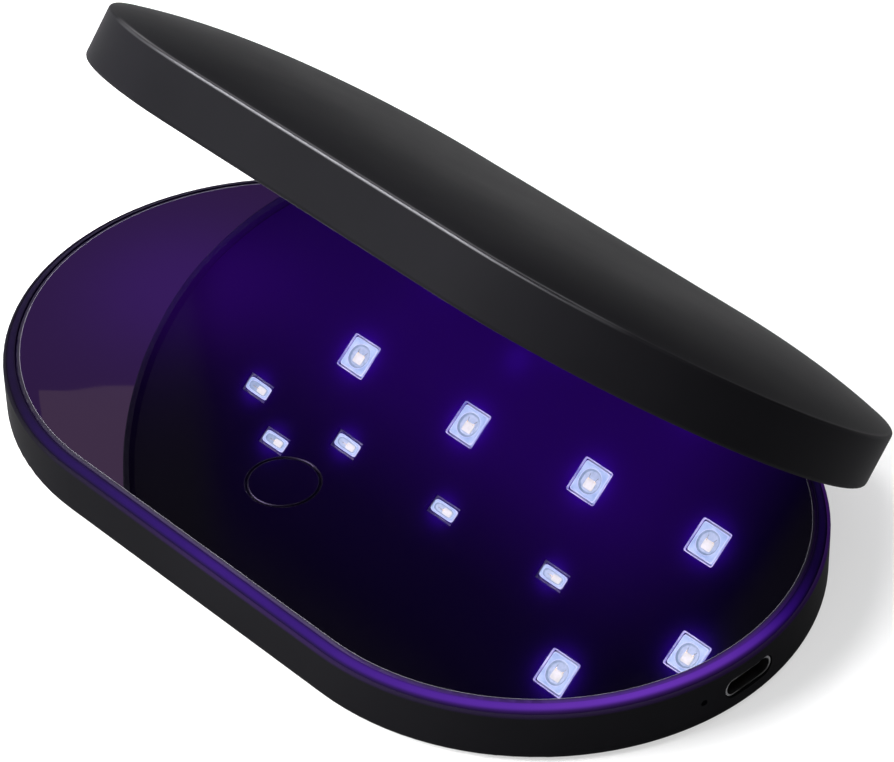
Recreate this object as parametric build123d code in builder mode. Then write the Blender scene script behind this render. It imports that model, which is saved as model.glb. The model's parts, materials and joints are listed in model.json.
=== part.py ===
from build123d import *
from math import cos, radians, sin
import os

os.makedirs("parts", exist_ok=True)

# Driving dimensions, in millimetres. The lamp is a flat stadium-shaped clamshell: X runs along its
# long side towards the charging port, Y towards the hinge, Z up, and the table is z = 0.

# Outline
END_RADIUS = 42.0  # radius of each round end, half of the lamp's width
HALF_STRAIGHT = 27.5  # half of each straight side

# Base
PAD_RADIUS = 33.0  # outline of the anti-slip pad, concentric with the lamp
PAD_TOP = 0.8
SHELL_BOTTOM = 0.4  # the pad stands this far proud of the shell
FLOOR_TOP = 1.6
RIM_TOP = 8.5
WALL_IN = 1.6  # wall thickness
LIP_IN = 0.5  # thin lip outside the light ring
LEDGE = 7.6  # the light ring sits on this ledge
FOOT_EASE = 1.0  # rounding where the wall meets the underside
RIM_EASE = 0.4
PLATE_TOP = 9.4
PLATE_BOTTOM = 8.4
PLATE_IN = 2.0  # plate edge, in from the outline
PLATE_EASE = 0.6  # rounding of the plate's upper edge
CARRIER_BOTTOM = 7.4
CARRIER_IN = 3.1

# Button and port
BUTTON_X = -2.3
BUTTON_Y = -22.0
BUTTON_RADIUS = 5.3
BUTTON_GAP = 0.15
BUTTON_EASE = 0.2  # rounding of the button and of its hole
BUTTON_FLANGE = 6.8  # keeps the button under the plate
BUTTON_TRAVEL = 0.4
PORT_Z = 4.6
PORT_WIDTH = 9.4
PORT_HEIGHT = 3.5
STATUS_ANGLE = -11.4  # status light, round the end from the port
STATUS_Z = 4.7

# Hinge
HINGE_Y = 37.0
HINGE_Z = 3.3
PIN_RADIUS = 1.0
KNUCKLE_RADIUS = 1.7
RUNNING = 0.04  # radial clearance of the arm on its pin
NOTCH_HALF = 12.4  # half width of the gap in the back rim
NOTCH_FLOOR = 4.0

# Lid, measured in its own frame: z = 0 is its lower edge, far edge at y = END_RADIUS
OPEN_ANGLE = 40.0
CLOSED_HEIGHT = 9.7  # height of the lid's lower edge when it is shut
BAND = 8.4  # straight side wall of the lid
DOME = 3.9  # rise of the crown above the band
LID_WALL = 1.4
CREASE = 0.4
LID_EASE = 0.6
PANEL_BOTTOM = 1.5
PANEL_TOP = 2.3
BOARD_BOTTOM = 2.7
BOARD_TOP = 3.7

# Light sources in the lid, as (x, y) in the lid's frame. The back row stands over the hinge side.
LARGE_LEDS = [(-33, 8.5), (-8.5, 9), (15.5, 12), (38.5, 14), (46, -1.5), (29, -14.5)]
BACK_LEDS = [(-27, 28.5), (-2, 29), (24, 31)]
SMALL_LEDS = [(-46.5, -4.5), (-26, -4), (-4, -4), (19, -3), (-38, -10)]
LARGE_SIZE = 5.0
SMALL_LENGTH = 5.2
SMALL_WIDTH = 2.5
WINDOW_GAP = 0.25

# Fixing points
CARRIER_SCREWS = [(50, 20), (50, -20), (-50, 20), (-50, -20), (26, -28), (-24, -28), (26, 28), (-24, 28)]
BOARD_SCREWS = [(31, -13), (31, 13), (56, -13), (56, 13)]
BUTTON = [(BUTTON_X, BUTTON_Y)]
SWITCH_SCREWS = [(BUTTON_X - 5.6, BUTTON_Y), (BUTTON_X + 5.6, BUTTON_Y)]
BRACKET_SCREWS = [(16, 29.6), (16, 33), (-16, 29.6), (-16, 33)]
ARM_SCREWS = [(9.5, 25.5), (9.5, 31.5), (-9.5, 25.5), (-9.5, 31.5)]
LID_SCREWS = [(58, 8), (46, -22), (8, -30), (-24, -28), (-55, -16), (-56, 14), (-38, 28), (40, 28)]
PEGS = [(60, -8), (30, -31), (-5, -33), (-42, -26), (-60, 0), (-46, 26), (50, 22)]

BASE = Plane.XY
lean = radians(OPEN_ANGLE)
rise = CLOSED_HEIGHT - HINGE_Z
LID = Plane(
    origin=(
        0,
        HINGE_Y - HINGE_Y * cos(lean) + rise * sin(lean),
        HINGE_Z + HINGE_Y * sin(lean) + rise * cos(lean),
    ),
    x_dir=(1, 0, 0),
    z_dir=(0, sin(lean), cos(lean)),
)
PIVOT_IN_LID = (HINGE_Y, HINGE_Z - CLOSED_HEIGHT)
LID_UP = Axis(LID.origin, LID.z_dir)


def finish(piece, name):
    """Labels a finished piece and writes it."""
    piece.part.label = name
    export_step(piece.part, f"parts/{name}.step")


def slab(plane, inset, bottom, top, mode=Mode.ADD):
    """A flat stadium, inset from the lamp's outline."""
    with BuildSketch(plane.offset(bottom)) as outline:
        SlotCenterToCenter(2 * HALF_STRAIGHT, 2 * (END_RADIUS - inset))
    extrude(outline.sketch, amount=top - bottom, mode=mode)


def pillars(plane, points, radius, bottom, top, mode=Mode.ADD):
    """Round posts or holes at each point."""
    with BuildSketch(plane.offset(bottom)) as discs:
        with Locations(*points):
            Circle(radius)
    extrude(discs.sketch, amount=top - bottom, mode=mode)


def block(plane, x, y, z, mode=Mode.ADD):
    """A block between two values of x, y and z."""
    with BuildSketch(plane.offset(z[0])) as footprint:
        with Locations(((x[0] + x[1]) / 2, (y[0] + y[1]) / 2)):
            Rectangle(x[1] - x[0], y[1] - y[0])
    extrude(footprint.sketch, amount=z[1] - z[0], mode=mode)


def tiles(plane, points, length, width, bottom, top, mode=Mode.ADD):
    """The same rectangle at each point."""
    with BuildSketch(plane.offset(bottom)) as faces:
        with Locations(*points):
            Rectangle(length, width)
    extrude(faces.sketch, amount=top - bottom, mode=mode)


def rod_along_x(plane, y, z, radius, x, mode=Mode.ADD):
    """A round bar along X between two values of x."""
    end = Plane(plane.from_local_coords((x[0], y, z)), x_dir=plane.y_dir, z_dir=plane.x_dir)
    with BuildSketch(end) as disc:
        Circle(radius)
    extrude(disc.sketch, amount=x[1] - x[0], mode=mode)


def carry_round(plane, draw_half, mode=Mode.ADD):
    """Carries a half section, drawn as (radius, height), round the stadium outline."""
    for side in (-1, 1):
        centre = plane.from_local_coords((side * HALF_STRAIGHT, 0, 0))
        with BuildSketch(Plane(centre, x_dir=-side * plane.y_dir, z_dir=-side * plane.x_dir)) as half:
            with BuildLine():
                draw_half()
            make_face()
        revolve(half.sketch, axis=Axis(centre, plane.z_dir), revolution_arc=180, mode=mode)
    start = plane.from_local_coords((-HALF_STRAIGHT, 0, 0))
    with BuildSketch(Plane(start, x_dir=plane.y_dir, z_dir=plane.x_dir)) as section:
        with BuildLine():
            draw_half()
        make_face()
        mirror(about=Plane.YZ)
    extrude(section.sketch, amount=2 * HALF_STRAIGHT, mode=mode)


def screws(plane, points, head_radius, head_height, shank_radius, under_head, length, up=1):
    """Pan-head screws with a cross slot; up is 1 where the shank points along +Z, else -1."""
    head = (under_head - up * head_height, under_head)
    shank = (under_head, under_head + up * length)
    slot = (head[0], head[0] + up * head_height * 0.5)
    pillars(plane, points, head_radius, min(head), max(head))
    pillars(plane, points, shank_radius, min(shank), max(shank))
    tiles(plane, points, head_radius * 1.2, 0.35, min(slot), max(slot), Mode.SUBTRACT)
    tiles(plane, points, 0.35, head_radius * 1.2, min(slot), max(slot), Mode.SUBTRACT)


def lead(points, bend, thickness, name):
    """An insulated wire along straight runs joined by arcs."""
    with BuildPart() as wire:
        with BuildLine() as route:
            FilletPolyline(*points, radius=bend)
        start = Plane(route.line @ 0, z_dir=route.line % 0)
        with BuildSketch(start):
            Circle(thickness / 2)
        sweep()
    finish(wire, name)


# ---------------------------------------------------------------------------------------- base


with BuildPart() as anti_slip_pad:
    slab(BASE, END_RADIUS - PAD_RADIUS + 0.05, 0, PAD_TOP)
    fillet(anti_slip_pad.faces().sort_by(Axis.Z)[0].edges(), radius=0.25)
finish(anti_slip_pad, "anti_slip_pad")


def base_outside():
    """Half section of the base shell's outer form."""
    under = Line((0, SHELL_BOTTOM), (END_RADIUS - FOOT_EASE, SHELL_BOTTOM))
    foot = TangentArc(under @ 1, (END_RADIUS, SHELL_BOTTOM + FOOT_EASE), tangent=under % 1)
    wall = Line(foot @ 1, (END_RADIUS, RIM_TOP - RIM_EASE))
    rim = TangentArc(wall @ 1, (END_RADIUS - RIM_EASE, RIM_TOP), tangent=wall % 1)
    Polyline(rim @ 1, (0, RIM_TOP), (0, SHELL_BOTTOM))


with BuildPart() as base_hollow:
    slab(BASE, WALL_IN, FLOOR_TOP, RIM_TOP + 1)
    slab(BASE, LIP_IN, LEDGE, RIM_TOP + 1)
    pillars(BASE, CARRIER_SCREWS, 3.1, FLOOR_TOP, 5.8, Mode.SUBTRACT)
    pillars(BASE, BOARD_SCREWS, 1.8, FLOOR_TOP, 3.4, Mode.SUBTRACT)
    pillars(BASE, SWITCH_SCREWS, 1.6, FLOOR_TOP, 4.8, Mode.SUBTRACT)
    pillars(BASE, BRACKET_SCREWS, 1.9, FLOOR_TOP, 4.0, Mode.SUBTRACT)

STATUS_OUT = Plane(
    (
        HALF_STRAIGHT + (END_RADIUS + 1) * cos(radians(STATUS_ANGLE)),
        (END_RADIUS + 1) * sin(radians(STATUS_ANGLE)),
        STATUS_Z,
    ),
    z_dir=(-cos(radians(STATUS_ANGLE)), -sin(radians(STATUS_ANGLE)), 0),
)
PORT = Plane((END_RADIUS + HALF_STRAIGHT + 1, 0, PORT_Z), x_dir=(0, 1, 0), z_dir=(-1, 0, 0))

with BuildPart() as base_shell:
    carry_round(BASE, base_outside)
    add(base_hollow.part, mode=Mode.SUBTRACT)
    slab(BASE, END_RADIUS - PAD_RADIUS, SHELL_BOTTOM - 1, PAD_TOP, Mode.SUBTRACT)
    pillars(BASE, CARRIER_SCREWS, 2.1, SHELL_BOTTOM - 1, 2.6, Mode.SUBTRACT)
    pillars(BASE, CARRIER_SCREWS, 1.1, 2.6, 5.8, Mode.SUBTRACT)
    pillars(BASE, BOARD_SCREWS, 0.6, 1.5, 3.4, Mode.SUBTRACT)
    pillars(BASE, SWITCH_SCREWS, 0.6, 2.4, 4.8, Mode.SUBTRACT)
    pillars(BASE, BRACKET_SCREWS, 0.7, 1.5, 4.0, Mode.SUBTRACT)
    block(BASE, (-17, 17), (34.6, 39.6), (1.2, FLOOR_TOP), Mode.SUBTRACT)
    block(BASE, (-NOTCH_HALF, NOTCH_HALF), (39, 43), (NOTCH_FLOOR, RIM_TOP + 1), Mode.SUBTRACT)
    with BuildSketch(PORT):
        SlotOverall(PORT_WIDTH, PORT_HEIGHT)
    extrude(amount=3.2, mode=Mode.SUBTRACT)
    with BuildSketch(STATUS_OUT):
        Circle(0.5)
    extrude(amount=3.2, mode=Mode.SUBTRACT)
finish(base_shell, "base_shell")


def light_ring_section():
    """Section of the light ring: a sloped top from the lip up to the plate's edge."""
    inner = END_RADIUS - CARRIER_IN + 0.1
    outer = END_RADIUS - LIP_IN - 0.05
    edge = END_RADIUS - PLATE_IN + 0.05
    Polyline(
        (inner, LEDGE),
        (outer, LEDGE),
        (outer, RIM_TOP),
        (edge, PLATE_TOP - 0.05),
        (edge, PLATE_BOTTOM),
        (inner, PLATE_BOTTOM),
        close=True,
    )


with BuildPart() as light_ring:
    carry_round(BASE, light_ring_section)
    block(BASE, (-NOTCH_HALF, NOTCH_HALF), (34.6, 43), (LEDGE - 1, PLATE_TOP + 1), Mode.SUBTRACT)
finish(light_ring, "light_ring")

with BuildPart() as base_plate:
    slab(BASE, PLATE_IN, PLATE_BOTTOM, PLATE_TOP)
    fillet(base_plate.faces().sort_by(Axis.Z)[-1].edges(), radius=PLATE_EASE)
    pillars(BASE, BUTTON, BUTTON_RADIUS + BUTTON_GAP, PLATE_BOTTOM, PLATE_TOP, Mode.SUBTRACT)
    hole_edges = base_plate.faces().sort_by(Axis.Z)[-1].edges().filter_by(GeomType.CIRCLE)
    fillet(hole_edges.sort_by(SortBy.RADIUS)[0], radius=BUTTON_EASE)
    block(BASE, (-NOTCH_HALF, NOTCH_HALF), (34.9, 43), (PLATE_BOTTOM, PLATE_TOP), Mode.SUBTRACT)
finish(base_plate, "base_plate")

with BuildPart() as plate_carrier:
    slab(BASE, CARRIER_IN, CARRIER_BOTTOM, PLATE_BOTTOM)
    slab(BASE, END_RADIUS - 23, CARRIER_BOTTOM, PLATE_BOTTOM, Mode.SUBTRACT)
    tiles(BASE, [(-30, 0), (0, 0), (30, 0)], 5, 50, CARRIER_BOTTOM, PLATE_BOTTOM)
    pillars(BASE, CARRIER_SCREWS, 2.6, 5.85, CARRIER_BOTTOM)
    pillars(BASE, CARRIER_SCREWS, 0.9, 5.85, 8.0, Mode.SUBTRACT)
    pillars(BASE, BUTTON, BUTTON_FLANGE + 0.6, CARRIER_BOTTOM, PLATE_BOTTOM, Mode.SUBTRACT)
    block(BASE, (-NOTCH_HALF, NOTCH_HALF), (33, 43), (CARRIER_BOTTOM, PLATE_BOTTOM), Mode.SUBTRACT)
finish(plate_carrier, "plate_carrier")

with BuildPart() as carrier_screws:
    screws(BASE, CARRIER_SCREWS, 1.9, 0.9, 0.9, 2.6, 5.2)
finish(carrier_screws, "carrier_screws")

# The ring's light strip stands on edge against the wall, under the light ring
STRIP_BOTTOM = 6.45
STRIP_TOP = 7.5
STRIP_OUT = END_RADIUS - WALL_IN

with BuildPart() as glow_strip:
    slab(BASE, WALL_IN, STRIP_BOTTOM, STRIP_TOP)
    slab(BASE, WALL_IN + 0.25, STRIP_BOTTOM, STRIP_TOP, Mode.SUBTRACT)
    block(BASE, (-14, 14), (38, 43), (STRIP_BOTTOM, STRIP_TOP), Mode.SUBTRACT)
finish(glow_strip, "glow_strip")

GLOW_LED = (1.6, 0.5, 0.75)
GLOW_LED_BOTTOM = 6.6
GLOW_LED_ROW = STRIP_OUT - 0.52

with BuildPart() as glow_leds:
    for side, first in ((-1, 100), (1, -80)):
        with BuildSketch(BASE.offset(GLOW_LED_BOTTOM)):
            with Locations((side * HALF_STRAIGHT, 0)):
                with PolarLocations(GLOW_LED_ROW, 9, start_angle=first, angular_range=160):
                    Rectangle(GLOW_LED[1], GLOW_LED[0])
        extrude(amount=GLOW_LED[2])
    with BuildSketch(BASE.offset(GLOW_LED_BOTTOM)):
        with Locations((0, -GLOW_LED_ROW)):
            with GridLocations(11, 1, 5, 1):
                Rectangle(GLOW_LED[0], GLOW_LED[1])
        with Locations((-22, GLOW_LED_ROW), (22, GLOW_LED_ROW)):
            Rectangle(GLOW_LED[0], GLOW_LED[1])
    extrude(amount=GLOW_LED[2])
finish(glow_leds, "glow_leds")

# Battery, in the end away from the port
BATTERY_X = (-46, -7)
BATTERY_Y = (-13, 16)
BATTERY_BOTTOM = 1.9
BATTERY_TOP = 6.7

with BuildPart() as battery_tape:
    tape_x = (BATTERY_X[0] + 3, BATTERY_X[1] - 3)
    tape_y = (BATTERY_Y[0] + 3, BATTERY_Y[1] - 3)
    block(BASE, tape_x, tape_y, (FLOOR_TOP, BATTERY_BOTTOM))
finish(battery_tape, "battery_tape")

with BuildPart() as battery_cell:
    block(BASE, (BATTERY_X[0], BATTERY_X[1] - 3), BATTERY_Y, (BATTERY_BOTTOM, BATTERY_TOP))
    fillet(battery_cell.edges().filter_by(Axis.Z), radius=1.5)
    levels = battery_cell.edges().group_by(Axis.Z)
    fillet(levels[0] + levels[-1], radius=0.8)
finish(battery_cell, "battery_cell")

with BuildPart() as battery_guard_board:
    block(BASE, (BATTERY_X[1] - 3, BATTERY_X[1]), (BATTERY_Y[0] + 2, BATTERY_Y[1] - 2), (3.6, 4.4))
finish(battery_guard_board, "battery_guard_board")

# Control board, charging port and their parts
PCB_BOTTOM = 3.4
PCB_TOP = 4.2
SOCKET_IN = 61.0
SOCKET_MOUTH = 69.1
SOCKET_WIDTH = 9.0
SOCKET_HEIGHT = 3.2

with BuildPart() as main_board:
    block(BASE, (28, 60), (-16, 16), (PCB_BOTTOM, PCB_TOP))
    block(BASE, (60, 66), (-11, 11), (PCB_BOTTOM, PCB_TOP))
    half_socket = SOCKET_WIDTH / 2 + 0.1
    block(BASE, (SOCKET_IN - 0.2, 67), (-half_socket, half_socket), (PCB_BOTTOM, PCB_TOP), Mode.SUBTRACT)
    pillars(BASE, BOARD_SCREWS, 0.8, PCB_BOTTOM, PCB_TOP, Mode.SUBTRACT)
    fillet(main_board.edges().filter_by(Axis.Z).group_by(Axis.X)[0], radius=1.5)
finish(main_board, "main_board")

with BuildPart() as main_board_screws:
    screws(BASE, BOARD_SCREWS, 1.4, 0.7, 0.6, PCB_TOP, 2.5, up=-1)
finish(main_board_screws, "main_board_screws")

with BuildPart() as board_chips:
    tiles(BASE, [(40, 0)], 7, 7, PCB_TOP, PCB_TOP + 0.9)
    tiles(BASE, [(52, 5)], 5, 4, PCB_TOP, PCB_TOP + 1.2)
    tiles(BASE, [(40, -10), (40, 10)], 4, 3, PCB_TOP, PCB_TOP + 1.0)
finish(board_chips, "board_chips")

with BuildPart() as board_inductor:
    block(BASE, (48, 54), (-8, -2), (PCB_TOP, PCB_TOP + 2.4))
    fillet(board_inductor.edges().filter_by(Axis.Z), radius=0.8)
finish(board_inductor, "board_inductor")

with BuildPart() as board_capacitors:
    with BuildSketch(BASE.offset(PCB_TOP)):
        with Locations((47, 10), (46, -12)):
            with GridLocations(1, 2.2, 1, 3):
                Rectangle(2.0, 1.2)
    extrude(amount=0.9)
finish(board_capacitors, "board_capacitors")

with BuildPart() as board_connectors:
    tiles(BASE, [(31, -6), (31, 6)], 4, 5, PCB_TOP, PCB_TOP + 2.0)
    tiles(BASE, [(29.6, -6), (29.6, 6)], 1.4, 3.6, PCB_TOP + 0.4, PCB_TOP + 2.0, Mode.SUBTRACT)
finish(board_connectors, "board_connectors")

MOUTH = Plane((SOCKET_MOUTH, 0, PORT_Z), x_dir=(0, 1, 0), z_dir=(-1, 0, 0))

with BuildPart() as port_socket:
    with BuildSketch(MOUTH):
        SlotOverall(SOCKET_WIDTH, SOCKET_HEIGHT)
    extrude(amount=SOCKET_MOUTH - SOCKET_IN)
    with BuildSketch(MOUTH):
        SlotOverall(SOCKET_WIDTH - 0.6, SOCKET_HEIGHT - 0.6)
    extrude(amount=SOCKET_MOUTH - SOCKET_IN - 1.2, mode=Mode.SUBTRACT)
finish(port_socket, "port_socket")

with BuildPart() as port_tongue:
    block(BASE, (SOCKET_IN + 1.2, SOCKET_MOUTH - 0.9), (-3.3, 3.3), (PORT_Z - 0.35, PORT_Z + 0.35))
    chamfer(port_tongue.faces().sort_by(Axis.X)[-1].edges().filter_by(Axis.Y), length=0.2)
finish(port_tongue, "port_tongue")

PIPE_OUT = STATUS_OUT.offset(1.1)

with BuildPart() as status_light_pipe:
    with BuildSketch(PIPE_OUT):
        Circle(0.47)
    extrude(amount=2.9)
finish(status_light_pipe, "status_light_pipe")

with BuildPart() as status_led:
    with BuildSketch(PIPE_OUT.offset(3.0)):
        Rectangle(1.6, 1.0)
    extrude(amount=1.0)
finish(status_led, "status_led")

# Power switch under the button
SWITCH_TOP = 6.9
SWITCH_PCB = (4.8, 5.6)
SWITCH_WELL = 6.2  # floor of the well that the plunger sinks into
PLUNGER_RADIUS = 1.5
PLUNGER_BOTTOM = SWITCH_WELL + BUTTON_TRAVEL + 0.15
PLUNGER_TOP = 7.45

with BuildPart() as switch_board:
    block(BASE, (BUTTON_X - 7.6, BUTTON_X + 7.6), (BUTTON_Y - 5, BUTTON_Y + 5), SWITCH_PCB)
    fillet(switch_board.edges().filter_by(Axis.Z), radius=1.0)
    pillars(BASE, SWITCH_SCREWS, 0.7, *SWITCH_PCB, Mode.SUBTRACT)
finish(switch_board, "switch_board")

with BuildPart() as switch_board_screws:
    screws(BASE, SWITCH_SCREWS, 1.3, 0.6, 0.6, SWITCH_PCB[1], 2.8, up=-1)
finish(switch_board_screws, "switch_board_screws")

with BuildPart() as switch_body:
    tiles(BASE, BUTTON, 6, 6, SWITCH_PCB[1], SWITCH_TOP)
    fillet(switch_body.edges().filter_by(Axis.Z), radius=0.4)
    pillars(BASE, BUTTON, PLUNGER_RADIUS + 0.15, SWITCH_WELL, SWITCH_TOP, Mode.SUBTRACT)
finish(switch_body, "switch_body")

# The plunger and the button move together
with BuildPart() as switch_plunger:
    pillars(BASE, BUTTON, PLUNGER_RADIUS, PLUNGER_BOTTOM, PLUNGER_TOP)
    fillet(switch_plunger.faces().sort_by(Axis.Z)[-1].edges(), radius=0.2)
finish(switch_plunger, "switch_plunger")

with BuildPart() as power_button:
    pillars(BASE, BUTTON, BUTTON_FLANGE, 7.7, 8.35)
    pillars(BASE, BUTTON, BUTTON_RADIUS, 8.35, PLATE_TOP)
    fillet(power_button.faces().sort_by(Axis.Z)[-1].edges(), radius=BUTTON_EASE)
    pillars(BASE, BUTTON, PLUNGER_RADIUS - 0.1, PLUNGER_TOP, 7.7)
finish(power_button, "power_button")

# ---------------------------------------------------------------------------------------- hinge

ARM_X = (7.2, 11.9)
KNUCKLE_X = (12.25, 16.5)
WASHER_X = (12.0, 12.25)
EAR = (4.0, 4.8)  # bottom and top of the bracket's screwed ear
LEAF = (5.0, 6.2)  # bottom and top of the arm's screwed leaf, in the lid's frame



def across(side, values):
    """The pair of x values on one side of the lamp, in rising order."""
    return tuple(sorted(side * value for value in values))


for side, word in ((1, "right"), (-1, "left")):
    bracket_x = across(side, KNUCKLE_X)
    arm_x = across(side, ARM_X)
    bracket_screws = [point for point in BRACKET_SCREWS if point[0] * side > 0]
    arm_screws = [point for point in ARM_SCREWS if point[0] * side > 0]

    with BuildPart() as hinge_bracket:
        rod_along_x(BASE, HINGE_Y, HINGE_Z, KNUCKLE_RADIUS, bracket_x)
        block(BASE, bracket_x, (35.0, HINGE_Y), (2.4, EAR[1]))
        block(BASE, across(side, (KNUCKLE_X[0], 19.2)), (27.6, 36.4), EAR)
        fillet(hinge_bracket.edges().filter_by(Axis.Z).group_by(Axis.Y)[0], radius=1.2)
        rod_along_x(BASE, HINGE_Y, HINGE_Z, PIN_RADIUS, bracket_x, Mode.SUBTRACT)
        pillars(BASE, bracket_screws, 0.8, *EAR, Mode.SUBTRACT)
    finish(hinge_bracket, f"hinge_bracket_{word}")

    with BuildPart() as hinge_pin:
        rod_along_x(BASE, HINGE_Y, HINGE_Z, PIN_RADIUS, across(side, (6.9, 16.9)))
        rod_along_x(BASE, HINGE_Y, HINGE_Z, 1.5, across(side, (6.5, 6.9)))
    finish(hinge_pin, f"hinge_pin_{word}")

    with BuildPart() as hinge_arm:
        rod_along_x(LID, *PIVOT_IN_LID, KNUCKLE_RADIUS, arm_x)
        block(LID, arm_x, (HINGE_Y - 1.5, HINGE_Y + 1.5), (PIVOT_IN_LID[1], LEAF[1]))
        block(LID, arm_x, (22.5, HINGE_Y + 1.5), LEAF)
        fillet(hinge_arm.edges().filter_by(LID_UP).group_by(Axis.Y)[0], radius=1.2)
        rod_along_x(LID, *PIVOT_IN_LID, PIN_RADIUS + RUNNING, arm_x, Mode.SUBTRACT)
        pillars(LID, arm_screws, 0.9, *LEAF, Mode.SUBTRACT)
    finish(hinge_arm, f"hinge_arm_{word}")

with BuildPart() as hinge_washers:
    for side in (-1, 1):
        rod_along_x(BASE, HINGE_Y, HINGE_Z, 1.6, across(side, WASHER_X))
        rod_along_x(BASE, HINGE_Y, HINGE_Z, PIN_RADIUS, across(side, WASHER_X), Mode.SUBTRACT)
finish(hinge_washers, "hinge_washers")

with BuildPart() as hinge_bracket_screws:
    screws(BASE, BRACKET_SCREWS, 1.4, 0.8, 0.7, EAR[1], 3.2, up=-1)
finish(hinge_bracket_screws, "hinge_bracket_screws")

# ---------------------------------------------------------------------------------------- lid


def dome(radius, height, rise_by):
    """Crown of the lid: steepest at its edge and level on the middle line."""
    return Bezier(
        (radius, height),
        (radius * 2 / 3, height + rise_by),
        (radius / 3, height + rise_by),
        (0, height + rise_by),
    )


def lid_outside():
    """Half section of the lid's outer form."""
    under = Line((0, 0), (END_RADIUS - LID_EASE, 0))
    edge = TangentArc(under @ 1, (END_RADIUS, LID_EASE), tangent=under % 1)
    wall = Line(edge @ 1, (END_RADIUS, BAND - CREASE))
    crease = TangentArc(wall @ 1, (END_RADIUS - CREASE, BAND), tangent=wall % 1)
    crown = dome(END_RADIUS - CREASE, BAND, DOME)
    Line(crown @ 1, (0, 0))


def lid_inside():
    """Half section of the hollow under the crown."""
    radius = END_RADIUS - LID_WALL
    height = BAND - LID_WALL
    Polyline((0, -1), (radius, -1), (radius, height))
    crown = dome(radius, height, DOME)
    Line(crown @ 1, (0, -1))


with BuildPart() as lid_hollow:
    carry_round(LID, lid_inside)
    pillars(LID, LID_SCREWS, 2.2, BOARD_TOP, BAND + DOME, Mode.SUBTRACT)
    pillars(LID, PEGS, 1.9, BOARD_TOP, BAND + DOME, Mode.SUBTRACT)
    pillars(LID, ARM_SCREWS, 2.0, LEAF[1], BAND + DOME, Mode.SUBTRACT)

with BuildPart() as lid_shell:
    carry_round(LID, lid_outside)
    add(lid_hollow.part, mode=Mode.SUBTRACT)
    pillars(LID, LID_SCREWS, 0.8, BOARD_TOP, 6.7, Mode.SUBTRACT)
    pillars(LID, PEGS, 1.05, BOARD_TOP, 5.0, Mode.SUBTRACT)
    pillars(LID, ARM_SCREWS, 0.8, LEAF[1], LEAF[1] + 2.0, Mode.SUBTRACT)
finish(lid_shell, "lid_shell")

with BuildPart() as led_board:
    slab(LID, 3.2, BOARD_BOTTOM, BOARD_TOP)
    block(LID, (-15, 15), (34.4, 43), (BOARD_BOTTOM, BOARD_TOP), Mode.SUBTRACT)
    pillars(LID, LID_SCREWS, 1.0, BOARD_BOTTOM, BOARD_TOP, Mode.SUBTRACT)
    pillars(LID, PEGS, 1.2, BOARD_BOTTOM, BOARD_TOP, Mode.SUBTRACT)
finish(led_board, "led_board")

with BuildPart() as led_board_screws:
    screws(LID, LID_SCREWS, 1.6, 0.35, 0.8, BOARD_BOTTOM, 3.8)
finish(led_board_screws, "led_board_screws")

LARGE = LARGE_LEDS + BACK_LEDS
LARGE_BODY = (PANEL_BOTTOM, BOARD_BOTTOM)
SMALL_BODY = (PANEL_BOTTOM + 0.4, BOARD_BOTTOM)
CUP_DEPTH = 0.3
CUP_RADIUS = 2.0
CUP_LENGTH = SMALL_LENGTH - 1.1
CUP_WIDTH = SMALL_WIDTH - 0.8

with BuildPart() as led_panel:
    slab(LID, LID_WALL + 0.1, PANEL_BOTTOM, PANEL_TOP)
    large_window = LARGE_SIZE + 2 * WINDOW_GAP
    small_window = (SMALL_LENGTH + 2 * WINDOW_GAP, SMALL_WIDTH + 2 * WINDOW_GAP)
    tiles(LID, LARGE, large_window, large_window, PANEL_BOTTOM, PANEL_TOP, Mode.SUBTRACT)
    tiles(LID, SMALL_LEDS, *small_window, PANEL_BOTTOM, PANEL_TOP, Mode.SUBTRACT)
    block(LID, (-13.4, 13.4), (34.7, 43), (PANEL_BOTTOM, PANEL_TOP), Mode.SUBTRACT)
    pillars(LID, PEGS, 1.0, PANEL_TOP, 4.8)
finish(led_panel, "led_panel")

with BuildPart() as large_led_bodies:
    tiles(LID, LARGE, LARGE_SIZE, LARGE_SIZE, *LARGE_BODY)
    pillars(LID, LARGE, CUP_RADIUS, PANEL_BOTTOM, PANEL_BOTTOM + CUP_DEPTH, Mode.SUBTRACT)
finish(large_led_bodies, "large_led_bodies")

with BuildPart() as large_led_lenses:
    pillars(LID, LARGE, CUP_RADIUS, PANEL_BOTTOM + 0.05, PANEL_BOTTOM + CUP_DEPTH)
finish(large_led_lenses, "large_led_lenses")

with BuildPart() as small_led_bodies:
    tiles(LID, SMALL_LEDS, SMALL_LENGTH, SMALL_WIDTH, *SMALL_BODY)
    with BuildSketch(LID.offset(SMALL_BODY[0])):
        with Locations(*SMALL_LEDS):
            SlotOverall(CUP_LENGTH, CUP_WIDTH)
    extrude(amount=CUP_DEPTH, mode=Mode.SUBTRACT)
finish(small_led_bodies, "small_led_bodies")

with BuildPart() as small_led_lenses:
    with BuildSketch(LID.offset(SMALL_BODY[0] + 0.05)):
        with Locations(*SMALL_LEDS):
            SlotOverall(CUP_LENGTH, CUP_WIDTH)
    extrude(amount=CUP_DEPTH - 0.05)
finish(small_led_lenses, "small_led_lenses")

with BuildPart() as led_resistors:
    with BuildSketch(LID.offset(BOARD_TOP)):
        with Locations((-14, -4)):
            with GridLocations(6, 1, 6, 1):
                Rectangle(3.2, 1.6)
    extrude(amount=0.6)
finish(led_resistors, "led_resistors")

with BuildPart() as lid_connector:
    block(LID, (-3, 3), (20, 25), (BOARD_TOP, BOARD_TOP + 2.2))
    block(LID, (-2.2, 2.2), (23.6, 25), (BOARD_TOP + 0.4, BOARD_TOP + 2.2), Mode.SUBTRACT)
finish(lid_connector, "lid_connector")

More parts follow.
